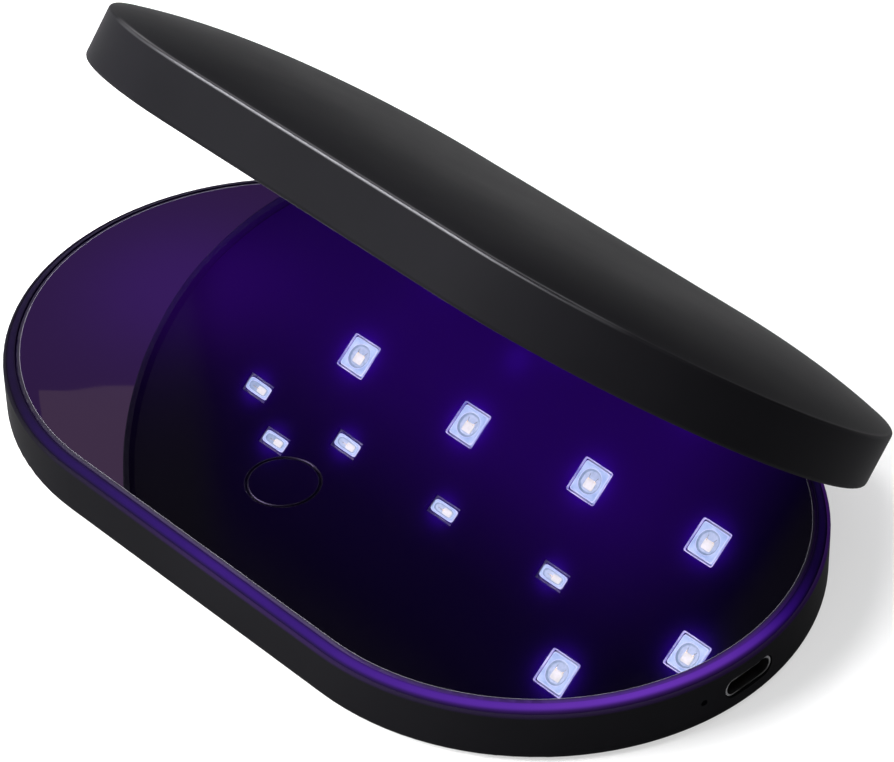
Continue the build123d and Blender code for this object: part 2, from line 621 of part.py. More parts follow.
with BuildPart() as hinge_arm_screws:
    screws(LID, ARM_SCREWS, 1.5, 0.8, 0.8, LEAF[0], 3.0)
finish(hinge_arm_screws, "hinge_arm_screws")

# ---------------------------------------------------------------------------------------- wires

# The lamp lead runs along the hinge axis, where it twists as the lid turns, so its two halves meet
# face to face on that axis.
LAMP_LEAD = 1.2
LAMP_BEND = 2.0
BATTERY_LEAD = 1.1
BATTERY_BEND = 3.0

base_route = [
    (29.4, 6, 5.2),
    (24, 6, 5.2),
    (20, 24, 5.2),
    (-1, 26, 3.0),
    (-5.2, 30, 3.0),
    (-5.2, HINGE_Y, HINGE_Z),
    (0, HINGE_Y, HINGE_Z),
]
lid_route = [
    (0, *PIVOT_IN_LID),
    (4.6, *PIVOT_IN_LID),
    (4.6, HINGE_Y, 5.0),
    (0, 30, 5.0),
    (0, 24.2, 5.0),
]
lead(base_route, LAMP_BEND, LAMP_LEAD, "lamp_lead_base")
lead([LID.from_local_coords(point) for point in lid_route], LAMP_BEND, LAMP_LEAD, "lamp_lead_lid")

for word, shift in (("red", 0.9), ("black", -0.9)):
    battery_route = [(-7, shift, 5.0), (-2, shift, 5.0), (20, shift - 6, 5.2), (29.4, shift - 6, 5.2)]
    lead(battery_route, BATTERY_BEND, BATTERY_LEAD, f"battery_lead_{word}")
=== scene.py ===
import json
import math

import bmesh
import bpy
from mathutils import Matrix, Vector


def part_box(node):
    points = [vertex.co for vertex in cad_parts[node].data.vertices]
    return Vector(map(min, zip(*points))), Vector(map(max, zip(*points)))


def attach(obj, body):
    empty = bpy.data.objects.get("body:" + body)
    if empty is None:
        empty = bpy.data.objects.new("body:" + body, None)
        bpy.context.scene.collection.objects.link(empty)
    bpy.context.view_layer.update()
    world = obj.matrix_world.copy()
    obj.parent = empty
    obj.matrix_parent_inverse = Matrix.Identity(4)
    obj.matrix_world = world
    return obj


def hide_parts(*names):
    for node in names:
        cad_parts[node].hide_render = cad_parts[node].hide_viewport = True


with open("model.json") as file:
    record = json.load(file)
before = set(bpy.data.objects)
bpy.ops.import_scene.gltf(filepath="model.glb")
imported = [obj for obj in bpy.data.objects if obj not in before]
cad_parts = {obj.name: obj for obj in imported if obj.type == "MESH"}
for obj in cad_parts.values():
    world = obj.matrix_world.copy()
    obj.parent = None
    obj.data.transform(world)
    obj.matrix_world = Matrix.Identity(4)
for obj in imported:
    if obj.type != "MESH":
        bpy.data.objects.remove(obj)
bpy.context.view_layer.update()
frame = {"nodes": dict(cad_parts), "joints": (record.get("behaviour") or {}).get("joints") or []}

MM = 0.001
ORIGIN = Vector((0, 0, 0))
X_AXIS = Vector((1, 0, 0))
Y_AXIS = Vector((0, 1, 0))
Z_AXIS = Vector((0, 0, 1))

# ------------------------------------------------------------------------------------ measures

_, shell_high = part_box("base_shell")
plate_low, plate_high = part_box("base_plate")
ring_low, ring_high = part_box("light_ring")
tongue_low, tongue_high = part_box("port_tongue")
END_RADIUS = shell_high.y
HALF_STRAIGHT = shell_high.x - END_RADIUS
PLATE_RADIUS = plate_high.y
RING_RADIUS = ring_high.y
RING_INNER = PLATE_RADIUS - 1.0 * MM  # the guide's foot, under the plate's edge
HINGE_GAP = 12.4 * MM  # half width of the gap that the hinge arms pass through

hinge = next(joint for joint in frame["joints"] if joint["name"] == "lid_hinge")
HINGE = Vector(hinge["pos_m"])
OPEN_ANGLE = math.radians(-min(hinge["range_deg"]))
LID_GAP = 0.3 * MM  # between the plate and the shut lid

# The lid's own frame at rest: x along the lamp, y towards the hinge, z out of the crown
CLOSED = Matrix.Translation((0, 0, plate_high.z + LID_GAP))
LEAN = Matrix.Translation(HINGE) @ Matrix.Rotation(-OPEN_ANGLE, 4, "X") @ Matrix.Translation(-HINGE)
LID = LEAN @ CLOSED
LID_ORIGIN = LID.to_translation()
LID_Y = LID.to_3x3() @ Y_AXIS
LID_Z = LID.to_3x3() @ Z_AXIS
LID_BAND = 8.4 * MM  # height of the lid's side wall

PLATE_EASE = 0.6 * MM  # rounding of the plate's edge
button_low, button_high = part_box("power_button")
BUTTON_TOP = Vector(((button_low.x + button_high.x) / 2, (button_low.y + button_high.y) / 2, button_high.z))
BUTTON_RADIUS = 5.3 * MM
BUTTON_EASE = 0.2 * MM  # rounding of the button's edge
BUTTON_HOLE = BUTTON_RADIUS + 0.35 * MM  # outside of the rounded edge of the button's hole


def island_boxes(node, to_local):
    """Lowest and highest corner of each separate solid of a CAD node, in a local frame."""
    made = bmesh.new()
    made.from_mesh(frame["nodes"][node].data)
    bmesh.ops.remove_doubles(made, verts=made.verts, dist=1e-6)
    seen = set()
    boxes = []
    for vert in made.verts:
        if vert in seen:
            continue
        group = [vert]
        seen.add(vert)
        for member in group:
            near = [edge.other_vert(member) for edge in member.link_edges]
            fresh = [other for other in near if other not in seen]
            seen.update(fresh)
            group.extend(fresh)
        points = [to_local @ member.co for member in group]
        low = Vector([min(point[axis] for point in points) for axis in range(3)])
        high = Vector([max(point[axis] for point in points) for axis in range(3)])
        boxes.append((low, high))
    made.free()
    return sorted(boxes, key=lambda box: (round(box[0].x, 5), round(box[0].y, 5)))


LARGE_LEDS = island_boxes("large_led_bodies", LID.inverted())
SMALL_LEDS = island_boxes("small_led_bodies", LID.inverted())
PANEL_FACE = LARGE_LEDS[0][0].z  # height of the lit panel's face in the lid's frame
STRAY_LIGHT = Vector((-7.5 * MM, 21.5 * MM, PANEL_FACE))  # a faint glow between two large LEDs

# ----------------------------------------------------------------------------------- materials

LAMP = 1.15  # brightness of the lamp's own light
BLACK = (0, 0, 0)
WASH = (0.0190, 0.0002, 0.1130)  # violet light on the lid's inner faces, at its strongest
HALO = (0.040, 0.003, 0.400)  # light scattered close round each light source
HAZE = (0.0110, 0.0004, 0.0540)  # light scattered within the plate, at its strongest
HAZE_MIDDLE = Vector((-47 * MM, -2 * MM, plate_high.z))
SPILL = (0.024, 0.004, 0.070)  # the ring's light on the base's lip
RING_DEEP = (0.16, 0.018, 1.0)  # the ring's light where it is weak
RING_BRIGHT = (0.30, 0.070, 1.0)  # the ring's light where it is strong
LIGHT_END = Vector((0.906, -0.423, 0))  # the ring's light is strongest on this side
GROOVE = (0.017, 0.013, 0.026)  # rounded edges of the button and its hole


class Shader:
    """A node material with short ways to add and join nodes."""

    def __init__(self, name):
        self.material = bpy.data.materials.new(name)
        self.material.use_nodes = True
        self.tree = self.material.node_tree
        self.bsdf = self.tree.nodes["Principled BSDF"]
        self.place = self.tree.nodes.new("ShaderNodeTexCoord").outputs["Object"]

    def node(self, kind, **settings):
        made = self.tree.nodes.new("ShaderNode" + kind)
        for key, value in settings.items():
            setattr(made, key, value)
        return made

    def feed(self, socket, value):
        """Give a socket a number, a colour or another node's output."""
        if isinstance(value, bpy.types.NodeSocket):
            self.tree.links.new(value, socket)
        elif isinstance(value, tuple) and len(socket.default_value) == 4:
            socket.default_value = (*value, 1.0)
        else:
            socket.default_value = value

    def set(self, **values):
        for key, value in values.items():
            self.feed(self.bsdf.inputs[key.replace("_", " ")], value)

    def noise(self, scale, detail=2.0, rough=0.5, stretch=(1, 1, 1)):
        mapping = self.node("Mapping")
        self.feed(mapping.inputs["Scale"], Vector(stretch))
        self.feed(mapping.inputs["Vector"], self.place)
        made = self.node("TexNoise")
        self.feed(made.inputs["Vector"], mapping.outputs["Vector"])
        self.feed(made.inputs["Scale"], scale)
        self.feed(made.inputs["Detail"], detail)
        self.feed(made.inputs["Roughness"], rough)
        return made.outputs["Fac"]

    def ramp(self, source, low, high, a=0.0, b=1.0, smooth=False):
        made = self.node("MapRange", interpolation_type="SMOOTHSTEP" if smooth else "LINEAR")
        self.feed(made.inputs["Value"], source)
        for name, value in (("From Min", low), ("From Max", high), ("To Min", a), ("To Max", b)):
            self.feed(made.inputs[name], value)
        return made.outputs["Result"]

    def maths(self, operation, a, b=0.0):
        made = self.node("Math", operation=operation)
        self.feed(made.inputs[0], a)
        self.feed(made.inputs[1], b)
        return made.outputs["Value"]

    def product(self, *factors):
        total = factors[0]
        for factor in factors[1:]:
            total = self.maths("MULTIPLY", total, factor)
        return total

    def mix_value(self, factor, a, b):
        made = self.node("Mix", data_type="FLOAT")
        for index, value in ((0, factor), (2, a), (3, b)):
            self.feed(made.inputs[index], value)
        return made.outputs[0]

    def mix(self, factor, a, b, blend="MIX"):
        made = self.node("Mix", data_type="RGBA", blend_type=blend)
        for index, value in ((0, factor), (6, a), (7, b)):
            self.feed(made.inputs[index], value)
        return made.outputs[2]

    def bump(self, height, distance, strength=1.0):
        made = self.node("Bump")
        self.feed(made.inputs["Distance"], distance)
        self.feed(made.inputs["Strength"], strength)
        self.feed(made.inputs["Height"], height)
        self.set(Normal=made.outputs["Normal"])

    def along(self, origin, direction):
        """Distance of a point from a plane, along the plane's normal."""
        made = self.node("VectorMath", operation="DOT_PRODUCT")
        self.feed(made.inputs[0], self.place)
        self.feed(made.inputs[1], direction)
        return self.maths("SUBTRACT", made.outputs["Value"], origin.dot(direction))

    def falloff(self, centre, reach, power):
        """1 at a point, falling smoothly with distance over about reach metres."""
        ratio = self.maths("DIVIDE", self.distance(centre), reach)
        return self.maths("DIVIDE", 1.0, self.maths("ADD", 1.0, self.maths("POWER", ratio, power)))

    def distance(self, centre):
        away = self.node("VectorMath", operation="DISTANCE")
        self.feed(away.inputs[0], self.place)
        self.feed(away.inputs[1], centre)
        return away.outputs["Value"]

    def radius(self, across=None):
        """Distance from the middle line of the stadium outline."""
        axes = self.node("SeparateXYZ")
        self.feed(axes.inputs[0], self.place)
        past_end = self.maths("SUBTRACT", self.maths("ABSOLUTE", axes.outputs["X"]), HALF_STRAIGHT)
        past_end = self.maths("MAXIMUM", past_end, 0.0)
        across = across or axes.outputs["Y"]
        squares = self.maths("ADD", self.product(past_end, past_end), self.product(across, across))
        return self.maths("SQRT", squares)


def matte_shell(name, specular, tone):
    """Matte black moulded plastic with a fine grain and faint handling marks."""
    s = Shader(name)
    marks = s.noise(38, 4, 0.55)
    s.set(Specular_IOR_Level=specular)
    colour = s.mix(s.ramp(marks, 0.35, 0.7, 0.0062 * tone, 0.0080 * tone), BLACK, (0.93, 0.91, 1.08))
    s.bump(s.noise(5200, 1.5, 0.6), 0.03 * MM, 0.2)
    return s, colour, s.ramp(marks, 0.3, 0.7, 0.52, 0.58)


def lid_black():
    """The lid's black: painted shade darkens the crown, the crease is glossier and carries a painted
    highlight, and painted violet light lies at its inner edge.
    """
    s, colour, rough = matte_shell("lid_black", 0.012, 1.0)
    x = s.along(ORIGIN, X_AXIS)
    height = s.along(LID_ORIGIN, LID_Z)
    across = s.radius(s.along(LID_ORIGIN, LID_Y))
    # painted shade: the crown is made about a quarter darker than the band
    crown = s.ramp(height, LID_BAND, LID_BAND + 0.6 * MM)
    colour = s.mix(crown, colour, s.mix(1.0, colour, (0.74, 0.74, 0.76), "MULTIPLY"))
    # painted highlight: a glossier metallic strip along the crease with a brighter reflection, faded out at
    # both ends where the highlight stops
    away = s.maths("ABSOLUTE", s.maths("SUBTRACT", height, LID_BAND - 0.1 * MM))
    crease_sheen = s.product(
        s.ramp(away, 0.15 * MM, 0.45 * MM, 1.0, 0.0),
        s.ramp(across, END_RADIUS - 0.9 * MM, END_RADIUS - 0.5 * MM),
        s.ramp(x, -50 * MM, -40 * MM),
        s.ramp(x, 44 * MM, 53 * MM, 1.0, 0.05),
    )
    # painted violet light from the lamp on the lid's inner edge
    inner_edge_light = s.product(
        s.ramp(height, 1.2 * MM, 1.6 * MM, 1.0, 0.0),
        s.ramp(across, END_RADIUS - 0.5 * MM, END_RADIUS - 0.2 * MM, 1.0, 0.0),
    )
    s.set(
        Metallic=crease_sheen,
        Roughness=s.mix_value(crease_sheen, rough, 0.40),
        Base_Color=s.mix(crease_sheen, colour, (0.062, 0.062, 0.066)),
        Emission_Color=s.mix(s.product(inner_edge_light, lid_wash(s), 0.7), BLACK, WASH),
        Emission_Strength=LAMP,
    )
    return s.material


def base_black():
    """The base's black, with violet light spilling on to the lip beside the light ring."""
    s, colour, rough = matte_shell("base_black", 0.006, 0.85)
    height = s.along(Vector((0, 0, shell_high.z)), Z_AXIS)
    spill = s.ramp(height, -0.6 * MM, 0.0, smooth=True)
    forward = s.along(ORIGIN, LIGHT_END)
    near_side = s.ramp(forward, -15 * MM, 20 * MM, 0.12, 1.0)
    past_port = s.ramp(forward, 40 * MM, 56 * MM, 1.0, 0.35)
    s.set(
        Base_Color=colour,
        Roughness=rough,
        Emission_Color=s.mix(s.product(spill, near_side, past_port), BLACK, SPILL),
        Emission_Strength=1.0,
    )
    return s.material


def glow_level(s):
    """Brightness of the ring's light along the outline: strongest beside the port, weak at the back."""
    forward = s.along(ORIGIN, LIGHT_END)
    near_side = s.ramp(forward, -25 * MM, 20 * MM, 0.0, 0.33)
    port_end = s.ramp(forward, 28 * MM, 66 * MM)
    level = s.maths("ADD", near_side, s.product(port_end, port_end, 0.60))
    past_port = s.ramp(s.along(ORIGIN, Y_AXIS), -4 * MM, 21 * MM, 1.0, 0.03, smooth=True)
    uneven = s.ramp(s.noise(70, 2), 0.3, 0.7, 0.9, 1.08)
    return s.maths("ADD", 0.04, s.product(level, past_port, uneven))


def lid_wash(s):
    """Strength of the violet wash over the lid's inner faces: strongest towards the hinge."""
    x = s.along(ORIGIN, X_AXIS)
    y = s.along(LID_ORIGIN, LID_Y)
    front = s.ramp(y, -34 * MM, -8 * MM, 0.0, 0.22)
    back = s.ramp(y, -12 * MM, 13 * MM, 0.0, 0.78, smooth=True)
    port_end = s.ramp(x, 22 * MM, 52 * MM, 1.0, 0.02, smooth=True)
    slanting = s.maths("ADD", x, s.product(y, 0.9))
    far_end = s.ramp(slanting, -70 * MM, -56 * MM, smooth=True)
    fade = s.ramp(x, -70 * MM, -30 * MM, 0.38, 1.0)
    uneven = s.ramp(s.noise(24, 2), 0.3, 0.7, 0.9, 1.1)
    return s.product(s.maths("ADD", front, back), port_end, far_end, fade, uneven)


def mirror_finish(name):
    """Dark, very slightly wavy mirror with faint wipe marks and a haze of scattered violet light."""
    s = Shader(name)
    wipes = s.noise(30, 5, 0.6, (1, 4, 1))
    colour = s.mix(s.ramp(wipes, 0.3, 0.8), (0.520, 0.503, 0.572), (0.500, 0.485, 0.555))
    haze = s.falloff(HAZE_MIDDLE, 16 * MM, 3.0)
    s.set(Specular_IOR_Level=0.03, Emission_Strength=1.0)
    s.bump(s.noise(48, 1, 0.3), 0.05 * MM)
    return s, colour, s.ramp(wipes, 0.35, 0.8, 0.010, 0.025), s.mix(haze, (0.0002, 0.0001, 0.0005), HAZE)


def past_level(s, across, level_radius):
    """0 on the level part of a mirror piece, and 1 on its rounded edge."""
    return s.ramp(across, level_radius - 0.08 * MM, level_radius + 0.02 * MM)


def mirror_plate():
    """The plate's mirror: its rounded edge catches the ring's light, and the button's hole is dull."""
    s, colour, rough, glow = mirror_finish("mirror_panel")
    across = s.radius()
    eased = past_level(s, across, PLATE_RADIUS - PLATE_EASE)
    caught = s.product(glow_level(s), s.ramp(across, PLATE_RADIUS - PLATE_EASE, PLATE_RADIUS, 0.04, 0.30))
    hole = s.ramp(s.distance(BUTTON_TOP), BUTTON_HOLE, BUTTON_HOLE + 0.07 * MM, 1.0, 0.0)
    dull = s.maths("MAXIMUM", eased, hole)
    s.set(
        Metallic=s.maths("MAXIMUM", s.maths("SUBTRACT", 1.0, eased), hole),
        Base_Color=s.mix(dull, colour, s.mix(hole, (0.010, 0.009, 0.012), GROOVE)),
        Roughness=s.mix_value(dull, rough, 0.38),
        Emission_Color=s.mix(s.product(caught, eased), glow, RING_BRIGHT),
    )
    return s.material


def mirror_button():
    """The button's mirror, dull on its rounded edge."""
    s, colour, rough, glow = mirror_finish("mirror_button")
    dull = past_level(s, s.distance(BUTTON_TOP), BUTTON_RADIUS - BUTTON_EASE)
    s.set(
        Metallic=1.0,
        Base_Color=s.mix(dull, colour, GROOVE),
        Roughness=s.mix_value(dull, rough, 0.38),
        Emission_Color=glow,
    )
    return s.material


def lit_underside():
    """Dark panel of the lid, with painted violet light washing it towards the hinge, a painted halo of
    light round each light source, and a faint painted grey glow where the violet light fades.
    """
    s = Shader("lit_underside")
    halo = 0.0
    for boxes, reach, peak in ((LARGE_LEDS, 3.6 * MM, 0.7), (SMALL_LEDS, 2.6 * MM, 0.5)):
        for low, high in boxes:
            middle = (low + high) / 2
            spot = s.falloff(LID @ Vector((middle.x, middle.y, PANEL_FACE)), reach, 5.0)
            halo = s.maths("ADD", halo, s.product(spot, peak))
    stray = s.falloff(LID @ STRAY_LIGHT, 2.4 * MM, 3.0)
    halo = s.maths("ADD", halo, s.product(stray, 0.25))
    wash = lid_wash(s)
    # painted light: a faint grey glow on the panel where the violet wash fades out
    grey_glow = s.mix(s.ramp(wash, 0.0, 0.10), (0.0042, 0.0042, 0.0044), BLACK)
    s.set(
        Specular_IOR_Level=0.0,
        Roughness=s.ramp(s.noise(300, 2), 0.3, 0.7, 0.42, 0.52),
        Base_Color=s.mix(s.noise(150, 2), (0.0016, 0.0015, 0.0018), (0.0024, 0.0022, 0.0028)),
        Emission_Color=s.mix(s.maths("MINIMUM", halo, 1.0), s.mix(wash, grey_glow, WASH, "ADD"), HALO, "ADD"),
        Emission_Strength=LAMP,
    )
    s.bump(s.noise(2600, 2), 0.02 * MM, 0.15)
    return s.material


def glowing_guide():
    """Frosted light guide: the lit line within it lies nearer the panel where the light is strong."""
    s = Shader("glowing_guide")
    level = glow_level(s)
    peak = s.ramp(level, 0.3, 1.0, PLATE_RADIUS + 0.78 * MM, PLATE_RADIUS + 0.42 * MM)
    away = s.maths("DIVIDE", s.maths("ABSOLUTE", s.maths("SUBTRACT", s.radius(), peak)), 0.50 * MM)
    line = s.maths("DIVIDE", 1.0, s.maths("ADD", 1.0, s.maths("POWER", away, 4.0)))
    hue = s.mix(s.ramp(level, 0.3, 0.9), RING_DEEP, RING_BRIGHT)
    s.set(
        Roughness=0.5,
        Specular_IOR_Level=0.004,
        Base_Color=s.mix(s.noise(400, 2), (0.0025, 0.0018, 0.004), (0.004, 0.0025, 0.007)),
        Emission_Color=s.mix(1.0, hue, s.product(level, line, 0.44), "MULTIPLY"),
        Emission_Strength=1.0,
    )
    s.bump(s.noise(900, 2), 0.02 * MM, 0.2)
    return s.material


def lit(name, low, high, rough, scale, pale=(0.30, 0.31, 0.33)):
    """A surface that glows unevenly between two colours, low and high, in a grain of the given scale."""
    s = Shader(name)
    grain = s.ramp(s.noise(scale, 3), 0.3, 0.7)
    s.set(
        Roughness=rough,
        Base_Color=s.mix(grain, tuple(0.85 * part for part in pale), pale),
        Emission_Color=s.mix(grain, low, high),
        Emission_Strength=LAMP,
    )
    return s.material


def grained(name, a, b, rough, scale, metallic=0.0, depth=0.02 * MM, strength=0.3, specular=0.5, stretch=1):
    """Two close tones, with one grain in their colour and roughness and a finer one in relief."""
    s = Shader(name)
    grain = s.noise(scale, 3, 0.6, (1, stretch, 1))
    s.set(
        Metallic=metallic,
        Specular_IOR_Level=specular,
        Base_Color=s.mix(s.ramp(grain, 0.3, 0.7), a, b),
        Roughness=s.ramp(grain, 0.3, 0.7, rough * 0.85, min(1.0, rough * 1.2)),
    )
    s.bump(s.noise(scale * 8, 2), depth, strength)
    return s.material


GUIDE = glowing_guide()
PACKAGE = lit("lit_package", (0.34, 0.55, 0.96), (0.62, 0.82, 1.20), 0.35, 600)
PACKAGE_EDGE = lit("lit_package_edge", (0.85, 0.92, 1.40), (1.05, 1.08, 1.50), 0.35, 900)
FLANGE = lit("lit_flange", (0.020, 0.002, 0.16), (0.035, 0.004, 0.26), 0.6, 900, (0.006, 0.005, 0.010))
CAVITY = lit("lit_cavity", (0.20, 0.34, 0.52), (0.32, 0.46, 0.68), 0.2, 1500)
CHIP = lit("lit_chip", (1.02, 0.99, 0.88), (1.18, 1.14, 1.02), 0.3, 1800)
# painted light: the panel's window edges glow as if they caught the LEDs' light
WINDOW_EDGE_GLOW = lit("lit_window_edge", (0.05, 0.02, 0.50), (0.85, 0.72, 1.30), 0.3, 300)
SILICONE = grained("silicone", (0.018, 0.018, 0.019), (0.028, 0.028, 0.029), 0.75, 300)
STEEL = grained("plated_steel", (0.52, 0.53, 0.55), (0.66, 0.67, 0.69), 0.28, 150, 1.0, stretch=6)
HINGE_STEEL = grained("blackened_steel", (0.045, 0.045, 0.048), (0.075, 0.075, 0.080), 0.40, 150, 1.0)
NICKEL = grained("dark_nickel", (0.10, 0.10, 0.105), (0.15, 0.15, 0.155), 0.32, 200, 1.0)
GOLD = grained("contact_gold", (0.78, 0.56, 0.22), (0.90, 0.68, 0.32), 0.25, 900, 1.0)
CARRIER = grained("carrier_plastic", (0.05, 0.05, 0.055), (0.075, 0.075, 0.08), 0.55, 250)
IVORY = grained("ivory_plastic", (0.62, 0.58, 0.48), (0.72, 0.69, 0.60), 0.45, 300)
MASK = grained("solder_mask", (0.006, 0.045, 0.020), (0.010, 0.070, 0.032), 0.32, 260)
WHITE_MASK = grained("white_mask", (0.66, 0.67, 0.66), (0.76, 0.76, 0.75), 0.35, 240)
EPOXY = grained("epoxy", (0.020, 0.020, 0.022), (0.034, 0.034, 0.036), 0.5, 500)
SMOKED = grained("smoked_lens", (0.0006, 0.0006, 0.0008), (0.0012, 0.0010, 0.0016), 0.6, 400, specular=0.0)
FOIL = grained("pouch_foil", (0.50, 0.51, 0.53), (0.66, 0.67, 0.69), 0.30, 90, 0.9, 0.15 * MM, 0.4)
TAPE = grained("adhesive_tape", (0.62, 0.58, 0.46), (0.74, 0.70, 0.58), 0.8, 180)
RED_WIRE = grained("red_wire", (0.42, 0.012, 0.012), (0.55, 0.022, 0.018), 0.4, 400)
BLACK_WIRE = grained("black_wire", (0.014, 0.014, 0.015), (0.022, 0.022, 0.023), 0.4, 400)

NODE_LOOKS = {
    "base_shell": base_black(),
    "lid_shell": lid_black(),
    "base_plate": mirror_plate(),
    "power_button": mirror_button(),
    "led_panel": lit_underside(),
    "light_ring": GUIDE,
    "status_led": EPOXY,
    "status_light_pipe": SMOKED,
    "glow_leds": PACKAGE,
    "glow_strip": WHITE_MASK,
    "anti_slip_pad": SILICONE,
    "plate_carrier": CARRIER,
    "switch_body": CARRIER,
    "switch_plunger": IVORY,
    "board_connectors": IVORY,
    "lid_connector": IVORY,
    "port_tongue": EPOXY,
    "port_socket": NICKEL,
    "main_board": MASK,
    "switch_board": MASK,
    "battery_guard_board": MASK,
    "led_board": WHITE_MASK,
    "board_chips": EPOXY,
    "board_inductor": EPOXY,
    "board_capacitors": IVORY,
    "led_resistors": EPOXY,
    "battery_cell": FOIL,
    "battery_tape": TAPE,
    "battery_lead_red": RED_WIRE,
    "battery_lead_black": BLACK_WIRE,
    "lamp_lead_base": BLACK_WIRE,
    "lamp_lead_lid": BLACK_WIRE,
    "hinge_bracket_left": HINGE_STEEL,
    "hinge_bracket_right": HINGE_STEEL,
    "hinge_arm_left": HINGE_STEEL,
    "hinge_arm_right": HINGE_STEEL,
    "hinge_washers": HINGE_STEEL,
}

for node, thing in frame["nodes"].items():
    thing.data.materials.clear()
    thing.data.materials.append(NODE_LOOKS.get(node, STEEL))

# ---------------------------------------------------------------------------------- mesh pieces

OVAL_STEPS = 48
SHARP_ANGLE = math.radians(30)  # edges that turn more than this aren't shaded smooth


class Mesh:
    """Collects a piece's rings of points and faces, then makes its object."""

    def __init__(self, place=Matrix.Identity(4)):
        self.place = place
        self.made = bmesh.new()

    def ring(self, points):
        return [self.made.verts.new(self.place @ Vector(point)) for point in points]

    def skin(self, rings, finish=0):
        """Quads between neighbouring rings, all with the same number of points."""
        for first, second in zip(rings, rings[1:]):
            for index in range(len(first)):
                after = (index + 1) % len(first)
                face = self.made.faces.new((first[index], first[after], second[after], second[index]))
                face.material_index = finish

    def cap(self, ring, finish=0):
        self.made.faces.new(ring).material_index = finish

    def tower(self, middle, steps):
        """A closed stack of oval rings, each given with the finish of the band that ends there."""
        rings = [self.ring(oval(middle, *step[:4])) for step in steps]
        self.cap(rings[0], steps[0][4])
        for index in range(1, len(rings)):
            self.skin(rings[index - 1 : index + 1], finish=steps[index][4])
        self.cap(rings[-1], steps[-1][4])

    def done(self, name, body, materials, replaces=()):
        bmesh.ops.recalc_face_normals(self.made, faces=self.made.faces)
        mesh = bpy.data.meshes.new(name)
        self.made.to_mesh(mesh)
        self.made.free()
        mesh.shade_smooth()
        mesh.set_sharp_from_angle(angle=SHARP_ANGLE)
        for material in materials:
            mesh.materials.append(material)
        piece = bpy.data.objects.new(name, mesh)
        bpy.context.scene.collection.objects.link(piece)
        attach(piece, body)
        if replaces:
            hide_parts(*replaces)


def oval(middle, half_x, half_y, squareness, z):
    """Points of a superellipse: 2 is an ellipse, and a large squareness nearly a rectangle."""
    points = []
    for step in range(OVAL_STEPS):
        angle = math.tau * (step + 0.5) / OVAL_STEPS
        x, y = math.cos(angle), math.sin(angle)
        x = math.copysign(abs(x) ** (2 / squareness), x)
        y = math.copysign(abs(y) ** (2 / squareness), y)
        points.append((middle.x + half_x * x, middle.y + half_y * y, z))
    return points


def ring_stations(side_steps=8, end_steps=96):
    """Place along the lamp and direction of each cross-section of the ring, round from the hinge gap."""
    back, front = math.pi / 2, -math.pi / 2
    reach = HALF_STRAIGHT - HINGE_GAP
    stations = [(HINGE_GAP + reach * step / side_steps, back) for step in range(side_steps)]
    stations += [(HALF_STRAIGHT, back - math.pi * step / end_steps) for step in range(end_steps)]
    stations += [(HALF_STRAIGHT * (1 - 2 * step / side_steps), front) for step in range(side_steps)]
    stations += [(-HALF_STRAIGHT, front - math.pi * step / end_steps) for step in range(end_steps)]
    stations += [(-HALF_STRAIGHT + reach * step / side_steps, back) for step in range(side_steps + 1)]
    return stations


def make_light_ring():
    """The light guide: a convex sloped band with eased edges, open at the hinge."""
    inner = PLATE_RADIUS + 0.05 * MM
    outer = RING_RADIUS
    top = ring_high.z
    lip = shell_high.z
    profile = [(inner, plate_low.z), (inner, top - 0.12 * MM), (inner + 0.04 * MM, top - 0.05 * MM)]
    crown_steps = 9
    for step in range(crown_steps + 1):
        t = step / crown_steps
        radius = inner + 0.1 * MM + (outer - inner - 0.16 * MM) * t
        height = top - 0.02 * MM - (top - lip - 0.04 * MM) * t ** 1.15
        profile.append((radius, height))
    profile += [(outer, lip - 0.06 * MM), (outer, ring_low.z)]
    profile += [(RING_INNER, ring_low.z), (RING_INNER, plate_low.z)]

    piece = Mesh()
    rings = []
    for centre, angle in ring_stations():
        points = [(centre + r * math.cos(angle), r * math.sin(angle), z) for r, z in profile]
        rings.append(piece.ring(points))
    piece.skin(rings)
    piece.cap(rings[0])
    piece.cap(rings[-1])
    piece.done("light_guide", "base", [GUIDE], ["light_ring"])


# An LED package's rings from its foot's upper edge to its cavity's floor. Each has, in millimetres, its
# inset along and across the package, then its squareness, its depth below the face, again in millimetres,
# and the finish of the band that ends there.
LARGE_PACKAGE = (
    (0.00, 0.00, 16, 0.12, 0),
    (0.04, 0.04, 16, 0.03, 1),
    (0.12, 0.12, 15, 0.00, 1),
    (0.42, 0.42, 4.5, 0.00, 0),
    (0.50, 0.50, 2.2, 0.02, 0),
    (0.58, 0.58, 2.2, 0.08, 1),
    (0.88, 0.88, 2.2, 0.28, 2),
)
SMALL_PACKAGE = (
    (0.00, 0.00, 16, 0.45, 3),
    (0.22, 0.18, 7, 0.30, 3),
    (0.24, 0.20, 6, 0.04, 1),
    (0.30, 0.26, 5, 0.00, 1),
    (0.56, 0.44, 3.2, 0.02, 0),
    (0.62, 0.50, 3.2, 0.08, 1),
    (0.78, 0.64, 3.2, 0.28, 2),
)
CHIP_FOOT = 0.27 * MM  # depth of a chip's foot below the face, just under the cavity's floor
CHIP_EDGE = 0.03 * MM  # height of a chip's eased edge


